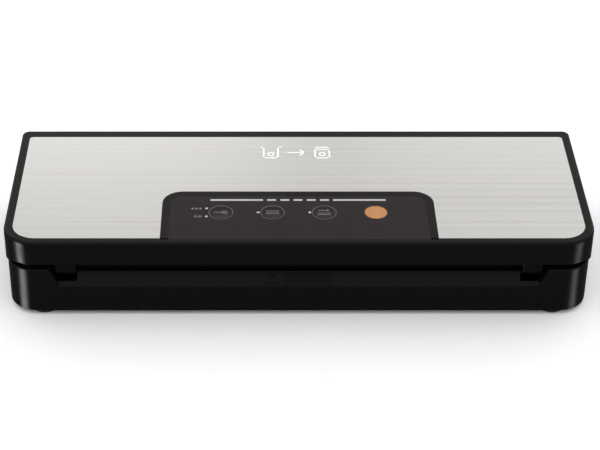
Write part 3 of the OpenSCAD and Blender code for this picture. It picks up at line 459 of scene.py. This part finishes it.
# %% [markdown]
# ### Bush of the mains inlet
# The bush has a square flange with a round bore. A bevel along every edge would tangle where its round and
# square necks meet inside, so only the flange's outline and the rim of the bore are rolled over.

# %% Roll the flange and the bore's rim
low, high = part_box("mains_inlet")
middle_x, middle_z = (low.x + high.x) / 2, (low.z + high.z) / 2
half = (high.x - low.x) / 2
FLANGE = 1.6 * MM
NEAR_BORE = 3.7 * MM


def flange_edge(middle, edge):
    """An edge on the outline of the square flange."""
    away = max(abs(middle.x - middle_x), abs(middle.z - middle_z))
    return away > half - 0.1 * MM and middle.y > high.y - FLANGE


def bore_rim(middle, edge):
    """An edge where the bore opens in the flange's outer face."""
    away = math.hypot(middle.x - middle_x, middle.z - middle_z)
    return away < NEAR_BORE and middle.y > high.y - 0.05 * MM


bush = softened("mains_inlet", 0, rolls=[(0.35 * MM, flange_edge), (0.3 * MM, bore_rim)])
print("bush:", len(bush.data.polygons), "faces")

# %% [markdown]
# ### Rings round the buttons
# The rings are printed film. Three are grey. The one round the start button is brown: a painted shadow that
# stands for the dark halo of shade round that button. One mesh with two finishes does it: the faces right
# of the third button get the brown painted shadow.

# %% Grey rings and the brown painted shadow
rings = softened("button_rings", 0.06 * MM)
# the second finish is painted shadow: the dark halo of shade round the start button
rings.data.materials.append(FINISHES["painted_shadow_brown"])
start_low, start_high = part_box("start_button")
for face in rings.data.polygons:
    face.material_index = 1 if face.center.x > start_low.x - 1 * MM else 0
print("brown faces:", sum(face.material_index for face in rings.data.polygons))

# %% [markdown]
# ## Turned pieces
# Buttons, feet, lamps and capacitors are round. On a lathe they'd be turned from a profile, and that is how
# they are made here: a filled circle is extruded step by step, and each new ring is scaled to its radius.
# A spin of a drawn profile would do the same, but the steps below read like a drawing: radius, height.

# %% Separate solids of a part, and a lathe
def solids_of(node):
    """The lowest and highest corner of each separate solid in a part, from left to right."""
    piece = copied(node, "measure")
    edit(piece)
    bpy.ops.mesh.select_all(action="SELECT")
    bpy.ops.mesh.separate(type="LOOSE")
    leave()
    corners = []
    for part in list(bpy.context.selected_objects):
        sides = list(zip(*(v.co for v in part.data.vertices)))
        corners.append((Vector(min(side) for side in sides), Vector(max(side) for side in sides)))
        bpy.data.objects.remove(part)
    return sorted(corners, key=lambda pair: (round(pair[0].x, 4), pair[0].y))


def turned(name, x, y, steps, rim=48):
    """Turn a round piece: each step is a radius and a height, from its lower face up."""
    radius, height = steps[0]
    bpy.ops.object.select_all(action="DESELECT")
    bpy.ops.mesh.primitive_circle_add(vertices=rim, radius=radius, fill_type="NGON",
                                      location=(x, y, height))
    piece = bpy.context.object
    piece.name = name
    bpy.ops.object.mode_set(mode="EDIT")
    bpy.ops.mesh.select_all(action="SELECT")
    for wide, high in steps[1:]:
        bpy.ops.mesh.extrude_region_move(TRANSFORM_OT_translate={"value": (0, 0, high - height)})
        bpy.ops.transform.resize(value=(wide / radius, wide / radius, 1), center_override=(x, y, high))
        radius, height = wide, high
    leave()
    settle(piece)
    return piece


def round_in_plan(low, high):
    """The middle and the radius of a round part, from the corners of its box."""
    return (low.x + high.x) / 2, (low.y + high.y) / 2, (high.x - low.x) / 2


def rim_arc(radius, top, fillet):
    """Steps of a quarter round from the side up to the top face."""
    turns = [math.radians(90 * k / 4) for k in range(5)]
    return [(radius - fillet * (1 - math.cos(t)), top - fillet * (1 - math.sin(t))) for t in turns]


# %% [markdown]
# ### Button caps
# Each cap has a stem that presses its switch, a flange that keeps it under the panel, and a shallow dish
# that centres the finger. The heights and radii come from the working part, so the cap fits its hole.

# %% Four dished caps
DISH = 0.10 * MM
CAP_EDGE = 0.3 * MM
RIM = 0.9 * MM
SLOPE = 1.1 * MM
dish_z = {}
for node in ("food_button", "seal_button", "vacuum_seal_button", "start_button"):
    low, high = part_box(node)
    x, y, _ = round_in_plan(low, high)
    levels = {}
    for vertex in frame["nodes"][node].data.vertices:
        level = round(vertex.co.z, 6)
        levels[level] = max(levels.get(level, 0), math.hypot(vertex.co.x - x, vertex.co.y - y))
    flange = max(levels.values())
    flange_levels = [z for z, r in levels.items() if r > flange - 0.01 * MM]
    flange_low, flange_high = min(flange_levels), max(flange_levels)
    cap = max(r for z, r in levels.items() if z > flange_high)
    stem = levels[min(levels)]
    dish_z[node] = high.z - DISH
    steps = [(stem, low.z), (stem, flange_low), (flange, flange_low), (flange, flange_high)]
    steps += [(cap, flange_high)] + rim_arc(cap, high.z, CAP_EDGE)
    steps += [(cap - RIM, high.z), (cap - RIM - SLOPE * 0.45, high.z - DISH * 0.4)]
    steps += [(cap - RIM - SLOPE, dish_z[node])]
    piece = turned("finished_" + node, x, y, steps, rim=64)
    hand_in(piece, body_of(node), slot_of(node), slot_of(node), node)
    print(node, "cap radius", round(cap / MM, 2), "flange radius", round(flange / MM, 2), "mm")

# %% [markdown]
# ### Small round lamps
# The lamps are ends of clear guides, faintly domed and level with the panel. All four are alike, so one is
# turned and copied, each copy with a mesh of its own.

# %% Domed lamps
DOME = 0.06 * MM
places = [round_in_plan(low, high) for low, high in solids_of("indicator_lights")]
low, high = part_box("indicator_lights")
x, y, r = places[0]
steps = [(r, low.z), (r, high.z - DOME), (r * 0.9, high.z - DOME / 3), (r * 0.6, high.z)]
first = turned("lamp", x, y, steps, rim=24)
lamps = [first] + [again(first, (at_x - x, at_y - y, 0)) for at_x, at_y, _ in places[1:]]
print("lamps:", len(lamps))
hand_in(joined("finished_indicator_lights", lamps), "lid", "lamp_white", "lamp_white", "indicator_lights")

# %% [markdown]
# ### Rubber feet
# A moulded foot has a chamfer where it meets the table, a groove that lets it flex, and a dimple below
# that grips like a sucker. A plug on top holds it in the cover.

# %% Four feet
CHAMFER = 0.9 * MM
GROOVE = 0.35 * MM
PLUG = 3 * MM
PLUG_CHAMFER = 0.4 * MM
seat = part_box("bottom_cover")[0].z
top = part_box("rubber_feet")[1].z
places = [round_in_plan(low, high) for low, high in solids_of("rubber_feet")]
x, y, r = places[0]
dimple = [(r - 5 * MM, CHAMFER), (r - 3.6 * MM, 0)]
tread = [(r - CHAMFER, 0), (r - CHAMFER / 3, CHAMFER / 3), (r, CHAMFER)]
waist = [(r, seat * 0.55), (r - GROOVE, seat * 0.63), (r - GROOVE, seat * 0.75), (r, seat * 0.83)]
plug = [(r, seat), (PLUG, seat), (PLUG, top - PLUG_CHAMFER), (PLUG - PLUG_CHAMFER, top)]
first = turned("foot", x, y, dimple + tread + waist + plug)
feet = [first] + [again(first, (at_x - x, at_y - y, 0)) for at_x, at_y, _ in places[1:]]
print("feet:", len(feet), "seat at", round(seat / MM, 2), "mm")
hand_in(joined("finished_rubber_feet", feet), "base", "foot_rubber", "foot_rubber", "rubber_feet")

# %% [markdown]
# ### Capacitors and the vacuum switch
# A capacitor's can is crimped near its foot, and its top is a recessed disc. The vacuum switch is a flat
# drum with a crimped edge and a barbed nipple.

# %% Cans and the drum
CRIMP = 0.4 * MM
CAN_EDGE = 0.3 * MM
cans = []
for low, high in solids_of("capacitors"):
    x, y, r = round_in_plan(low, high)
    foot = low.z
    lower_edge = [(r - CAN_EDGE, foot), (r, foot + CAN_EDGE)]
    crimp = [(r, foot + 1.6 * MM), (r - CRIMP, foot + 2.1 * MM), (r, foot + 2.6 * MM)]
    disc = [(r - 1.0 * MM, high.z), (r - 1.1 * MM, high.z - CAN_EDGE)]
    steps = lower_edge + crimp + rim_arc(r, high.z, 0.5 * MM) + disc
    cans.append(turned("can", x, y, steps, rim=32))
hand_in(joined("finished_capacitors", cans), "base", "capacitor_blue", "capacitor_blue", "capacitors")

NIPPLE = 4.5 * MM
LEDGE = 0.6 * MM
NECK, BARB = 2.2 * MM, 3.0 * MM
BARB_PITCH = 1.2 * MM
NIPPLE_BORE = 1.0 * MM
low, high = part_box("vacuum_switch")
x, y, r = round_in_plan(low, high)
drum = high.z - NIPPLE
lid_r = r - LEDGE
steps = [(r, low.z), (r, drum - 2.6 * MM), (lid_r, drum - 2.3 * MM), (lid_r, drum - 1.4 * MM)]
steps += rim_arc(lid_r, drum, 0.9 * MM) + [(BARB, drum), (NECK, drum + 0.3 * MM)]
for k in range(3):
    barb = drum + 0.6 * MM + k * BARB_PITCH
    steps += [(NECK, barb), (BARB, barb + 0.15 * MM), (NECK + 0.2 * MM, barb + 1.0 * MM)]
steps += [(2.0 * MM, high.z), (NIPPLE_BORE, high.z), (NIPPLE_BORE, high.z - 2 * MM)]
switch = turned("finished_vacuum_switch", x, y, steps)
hand_in(switch, "base", "white_nylon", "white_nylon", "vacuum_switch")
print("cans:", len(cans), "drum top at", round(drum / MM, 2), "mm")

# %% [markdown]
# ## Latch springs
# The working model holds rings in place of the coils. A real spring is one wire. A small circle is laid out
# as the wire's section, the Screw modifier winds it along X, and its two ends are closed. When the release
# button is pressed, the spring shortens between its stop and the arm.

# %% Two wound springs
WIRE = 0.5 * MM
TURNS = 7
for side, sign in (("left", -1), ("right", 1)):
    node = "latch_spring_" + side
    low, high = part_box(node)
    length, middle = high.x - low.x - 2 * WIRE, (low + high) / 2
    coil = (high.z - low.z) / 2 - WIRE
    bpy.ops.object.select_all(action="DESELECT")
    bpy.ops.mesh.primitive_circle_add(vertices=10, radius=WIRE, rotation=(math.radians(90), 0, 0),
                                      location=(0, 0, coil))
    spring = bpy.context.object
    bpy.ops.object.transform_apply(location=True, rotation=True, scale=True)
    modify(spring, "SCREW", axis="X", angle=2 * math.pi, screw_offset=length / TURNS, iterations=TURNS,
           steps=28, render_steps=28, use_smooth_shade=True)
    edit(spring, "EDGE")
    bpy.ops.mesh.select_non_manifold()
    bpy.ops.mesh.fill_holes(sides=0)
    leave()
    spring.name = "finished_" + node
    spring.location = (low.x + WIRE, middle.y, middle.z)
    settle(spring)
    hand_in(spring, "base", slot_of(node), "spring_steel", node)
    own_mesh(spring)
    print(node, "turns:", TURNS, "wire", WIRE / MM, "mm")

# %% [markdown]
# ## Release buttons
# Each side has a push button that frees the lid's hook. Five small ribs on its face give the finger grip.
# A rib starts as a cube and all its edges are rolled over. One is made, copied four times along the face,
# and the five are joined to the button.

# %% Bars with rolled edges, and the ribs
def bar(name, low, high, fillet):
    """A block between two corners with all its edges rounded."""
    bpy.ops.object.select_all(action="DESELECT")
    bpy.ops.mesh.primitive_cube_add(size=1, location=[(a + b) / 2 for a, b in zip(low, high)],
                                    scale=[b - a for a, b in zip(low, high)])
    piece = bpy.context.object
    piece.name = name
    bpy.ops.object.transform_apply(location=True, rotation=True, scale=True)
    edit(piece, "EDGE")
    bpy.ops.mesh.select_all(action="SELECT")
    bpy.ops.mesh.bevel(offset=fillet, segments=3, affect="EDGES")
    leave()
    settle(piece)
    return piece


RIB_PITCH = 3.4 * MM
RIB_HALF = 0.5 * MM
RIB_LOW, RIB_TOP = 10.6 * MM, 17.8 * MM
RIB_SUNK, RIB_PROUD = 0.3 * MM, 0.28 * MM
RIB_EDGE = 0.2 * MM
for side, sign in (("left", -1), ("right", 1)):
    node = "release_button_" + side
    low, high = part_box(node)
    face = sign * max(abs(low.x), abs(high.x))
    spring_low, spring_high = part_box("latch_spring_" + side)
    first_y = (spring_low.y + spring_high.y) / 2 - 2 * RIB_PITCH
    button = softened(node, 0.5 * MM, segments=3)
    x0, x1 = sorted((face - sign * RIB_SUNK, face + sign * RIB_PROUD))
    first = bar("rib", (x0, first_y - RIB_HALF, RIB_LOW), (x1, first_y + RIB_HALF, RIB_TOP), RIB_EDGE)
    ribs = [first] + [again(first, (0, k * RIB_PITCH, 0)) for k in range(1, 5)]
    joined(button.name, [button] + ribs)
    button.data.materials.clear()
    button.data.materials.append(FINISHES["release_black"])
    print(node, "ribs:", len(ribs))

# %% [markdown]
# ## Printed marks
# The panel and the steel carry printed signs. Words would tie the machine to one language, so these are
# pictograms: a fork for food, two jaws for sealing, an arrow over jaws for vacuum and seal, drops for
# moist food and rings for dry. Ink is a film a few hundredths of a millimetre thick. It could be painted in
# the shader, but a thin raised mesh stays crisp from any distance and rides with the button it is on.

# %% Strokes, rings and drops of ink
INK = 0.04 * MM


def stroke(start, end, width, surface):
    """A round-ended line of ink from start to end, in millimetres, on a surface at height z in metres."""
    (ax, ay), (bx, by) = start, end
    length = math.hypot(bx - ax, by - ay) + width
    bpy.ops.object.select_all(action="DESELECT")
    bpy.ops.mesh.primitive_cube_add(size=1, scale=(length * MM, width * MM, INK))
    piece = bpy.context.object
    bpy.ops.object.transform_apply(location=True, rotation=True, scale=True)
    edit(piece, "EDGE")
    pick(piece, "edges", lambda middle, edge: abs(edge.verts[0].co.z - edge.verts[1].co.z) > INK / 2)
    bpy.ops.mesh.bevel(offset=0.48 * width * MM, segments=3, affect="EDGES")
    leave()
    piece.location = ((ax + bx) / 2 * MM, (ay + by) / 2 * MM, surface + INK / 4)
    piece.rotation_euler.z = math.atan2(by - ay, bx - ax)
    return piece


def ring(centre, radius, width, surface):
    """A thin printed ring."""
    bpy.ops.object.select_all(action="DESELECT")
    bpy.ops.mesh.primitive_torus_add(major_radius=radius * MM, minor_radius=width / 2 * MM,
                                     major_segments=28, minor_segments=8,
                                     location=(centre[0] * MM, centre[1] * MM, surface + INK / 4))
    piece = bpy.context.object
    piece.scale.z = INK / (width * MM)
    return piece


def drop(centre, radius, surface):
    """A drop: a filled circle with its top drawn out to a point."""
    bpy.ops.object.select_all(action="DESELECT")
    bpy.ops.mesh.primitive_circle_add(vertices=16, radius=radius * MM, fill_type="NGON",
                                      location=(centre[0] * MM, centre[1] * MM, surface - INK / 4))
    piece = bpy.context.object
    edit(piece, "VERT")
    pick(piece, "verts", lambda place, vertex: place.y > 0.99 * radius * MM)
    bpy.ops.transform.translate(value=(0, radius * MM, 0))
    bpy.ops.mesh.select_all(action="SELECT")
    bpy.ops.mesh.extrude_region_move(TRANSFORM_OT_translate={"value": (0, 0, INK)})
    leave()
    return piece


def printed(name, marks, body, slot, ink):
    """Join the marks into one print, and hand it in."""
    for mark in marks:
        settle(mark)
    return hand_in(joined(name, marks), body, slot, ink)


def around(node):
    """A part's middle, in millimetres."""
    low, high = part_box(node)
    return (low.x + high.x) / 2 / MM, (low.y + high.y) / 2 / MM


# %% [markdown]
# ### Signs on the buttons
# Each sign is a list of strokes, in millimetres from the middle of its button, so it can be read and
# changed like a sketch on squared paper. The strokes lie in the dish and ride with the cap.

# %% Signs on the three dark buttons
def lines(node, segments, width=0.55):
    """Strokes at places measured from a button's middle, on its dish."""
    cx, cy = around(node)
    return [stroke((cx + ax, cy + ay), (cx + bx, cy + by), width, dish_z[node])
            for (ax, ay), (bx, by) in segments]


fork = [((-4.6, 0), (0.6, 0)), ((0.8, -1.5), (0.8, 1.5))]
fork += [((0.8, tine), (4.2, tine)) for tine in (-1.5, 0, 1.5)]
jaws = [((-4.2, 1.7), (4.2, 1.7)), ((-4.2, -1.7), (4.2, -1.7))]
dashes = [((at - 0.6, 0), (at + 0.6, 0)) for at in (-3.3, -1.1, 1.1, 3.3)]
arrow = [((-3.6, 2.2), (3.2, 2.2)), ((2.0, 3.3), (3.4, 2.2)), ((2.0, 1.1), (3.4, 2.2))]
low_jaws = [((-4.2, -0.9), (4.2, -0.9)), ((-4.2, -2.8), (4.2, -2.8))]
for node, segments in (("food_button", fork), ("seal_button", jaws + dashes),
                       ("vacuum_seal_button", arrow + low_jaws)):
    printed("sign_on_" + node, lines(node, segments), body_of(node), "ring_print", "ink_grey")
    print(node, "strokes:", len(segments))

# %% [markdown]
# ### Signs beside the lamps
# Two lamps tell whether the food is dry or moist. Three drops stand for moist and two rings for dry.
# A drop is a filled circle with its top point pulled out, which is the quickest way to that outline.

# %% Drops and rings beside the two lamps
MARK = 0.85  # radius of a drop or a ring, in millimetres
panel_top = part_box("control_panel")[1].z
left_lamps = solids_of("indicator_lights")[:2]
marks = []
for (low, high), kind in zip(left_lamps, ("dry", "moist")):
    x, y = (low.x + high.x) / 2 / MM, (low.y + high.y) / 2 / MM
    if kind == "moist":
        marks += [drop((x - 4.2 - k * 2.6, y - 0.4), MARK, panel_top) for k in range(3)]
    else:
        marks += [ring((x - 4.3 - k * 2.8, y), MARK, 0.5, panel_top) for k in range(2)]
printed("signs_beside_lamps", marks, "lid", "ring_print", "ink_grey")
print("marks beside the lamps:", len(marks))

# %% [markdown]
# ### Signs on the steel
# A row of white signs near the back edge says what the machine does: an open bag, an arrow, a sealed bag.
# They are drawn with the same strokes and rings, at twice the width, because they are read from further.

# %% A row of three signs on the steel
FROM_REAR = 21
HALF_BAG, TALL = 5, 7
BOLD = 1.0
steel_low, steel_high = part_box("steel_plate")
row_y = steel_high.y / MM - FROM_REAR


def steel_lines(segments):
    """Bold strokes at places measured from the middle of the row."""
    return [stroke((ax, ay + row_y), (bx, by + row_y), BOLD, steel_high.z)
            for (ax, ay), (bx, by) in segments]


marks = []
for x, sealed in ((-18, False), (18, True)):
    left, right = x - HALF_BAG, x + HALF_BAG
    sides = [((left, TALL), (left, -TALL)), ((left, -TALL), (right, -TALL)),
             ((right, -TALL), (right, TALL))]
    if sealed:
        mouth = [((left, TALL), (right, TALL)), ((left, 4.2), (right, 4.2))]
    else:
        mouth = [((x - 7.2, TALL), (left, TALL)), ((right, TALL), (x + 7.2, TALL))]
    marks += steel_lines(sides + mouth)
    marks.append(ring((x, row_y - 2), 2.0, BOLD, steel_high.z))
marks += steel_lines([((-6, 0), (6, 0)), ((2.4, 3.4), (6, 0)), ((2.4, -3.4), (6, 0))])
printed("signs_on_steel", marks, "lid", "lamp_white", "ink_white")
print("marks on the steel:", len(marks), "at Y", round(row_y, 1), "mm")

# %% [markdown]
# ## Parts that keep their working shape
# The thin strip and tape are right as they are: flat foil and cloth. They only need their finish,
# which goes into the part's own material slots.

# %% Finish for the rest
for node, part in frame["nodes"].items():
    if node not in STOOD_FOR:
        for slot in part.material_slots:
            slot.material = FINISHES[slot_of(node)]
        print("kept as it is:", node)

# %% [markdown]
# ## The stage
# A plain pale floor, one soft light all round, and a camera that looks down on the front.
# The floor would shine back at us from every black wall, so it is kept out of glossy reflections.
# In a studio, black card laid in front of the machine does the same. The floor is far wider than the
# machine, so that its edge never comes into view.

# %% Floor
bpy.ops.object.select_all(action="DESELECT")
bpy.ops.mesh.primitive_plane_add(size=24, location=(0, 0, 0))
floor = bpy.context.object
floor.name = "floor"
floor.data.materials.append(finish("floor_white", (0.86, 0.86, 0.86), 0.9, 20 * MM, bump=0.02, vary=0.01,
                                   specular=0.0))
floor.visible_glossy = False

# %% [markdown]
# ### Soft light all round
# One even sky lights everything. Seen in a reflection it is weaker, so that black stays black, and it
# fades further below the horizon, where a real room is dark. Only the brightness of the light changes;
# nothing is painted on the machine.

# %% A sky that is weaker in reflections and weakest from below
SKY = 1.20
SHINE, SHINE_BELOW = 0.62, 0.10
FADE_FROM, FADE_TO = -0.15, 0.10  # heights on the sky's sphere between which the shine fades
world = bpy.data.worlds.new("studio")
bpy.context.scene.world = world
world.use_nodes = True
nodes, links = world.node_tree.nodes, world.node_tree.links
sky = nodes["Background"]
sky.inputs["Color"].default_value = (1, 1, 1, 1)
where = nodes.new("ShaderNodeTexCoord")
split = nodes.new("ShaderNodeSeparateXYZ")
links.new(where.outputs["Generated"], split.inputs["Vector"])
shine = nodes.new("ShaderNodeMapRange")
shine.inputs["From Min"].default_value = FADE_FROM
shine.inputs["From Max"].default_value = FADE_TO
shine.inputs["To Min"].default_value = SHINE_BELOW
shine.inputs["To Max"].default_value = SHINE
links.new(split.outputs["Z"], shine.inputs["Value"])
rays = nodes.new("ShaderNodeLightPath")
level = nodes.new("ShaderNodeMix")
level.data_type = "FLOAT"
level.inputs[2].default_value = SKY
links.new(rays.outputs["Is Glossy Ray"], level.inputs[0])
links.new(shine.outputs["Result"], level.inputs[3])
links.new(level.outputs[0], sky.inputs["Strength"])
print("sky:", SKY, "in reflections:", SHINE)

# %% [markdown]
# ### Cards of light
# In a studio, small lit cards stand where an edge should catch light: one pair behind for the rear edges,
# one above, a faint pair whose sheen lies on the back of the steel, and one low at each side, which draws
# the bright lines down the rounded corners.

# %% Cards for the steel, the rims and the corners
def card(name, at, look_at, size, watts, colour=(1, 1, 1)):
    """A lit rectangle at a place, turned to look at another; sizes in metres."""
    bpy.ops.object.light_add(type="AREA", location=at)
    light = bpy.context.object
    light.name = name
    light.rotation_euler = (Vector(look_at) - Vector(at)).to_track_quat("-Z", "Y").to_euler()
    light.data.shape = "RECTANGLE"
    light.data.size, light.data.size_y = size
    light.data.energy = watts
    light.data.color = colour


card("back_left", (-1.5, 1.7, 1.3), (0, 0, 0.05), (1.2, 1.2), 4)
card("back_right", (1.5, 1.7, 1.3), (0, 0, 0.05), (1.2, 1.2), 3.6)
card("top", (0, -0.2, 2.2), (0, 0, 0), (2.5, 2.0), 6)
card("sheen_left", (-0.22, 1.05, 0.53), (-0.10, 0.06, 0.06), (0.44, 0.22), 0.26)
card("sheen_right", (0.30, 1.05, 0.53), (0.12, 0.06, 0.06), (0.40, 0.22), 0.17)
card("left_corner", (-0.84, -0.42, -0.5), (-0.19, -0.06, 0.03), (0.3, 0.9), 16, (1.0, 0.95, 0.98))
card("right_corner", (0.93, -0.42, -0.5), (0.19, -0.06, 0.03), (0.3, 0.9), 5.5, (1.0, 0.94, 0.94))

# %% [markdown]
# ### Camera
# The camera stands about a metre in front and looks down at 34 degrees, as someone at the worktop does.
# A long lens keeps the far edge nearly as wide as the near one.

# %% Camera
LENS = 107.5
SIDE_SHIFT = 0.07
bpy.ops.object.camera_add(location=(-0.027, -1.0269, 0.7257), rotation=(math.radians(55.7), 0, 0))
camera = bpy.context.object
camera.data.lens = LENS
camera.data.sensor_width = 36
camera.data.shift_x = SIDE_SHIFT
bpy.context.scene.camera = camera
bpy.context.scene.view_settings.view_transform = "Standard"
print("lens:", LENS, "mm")
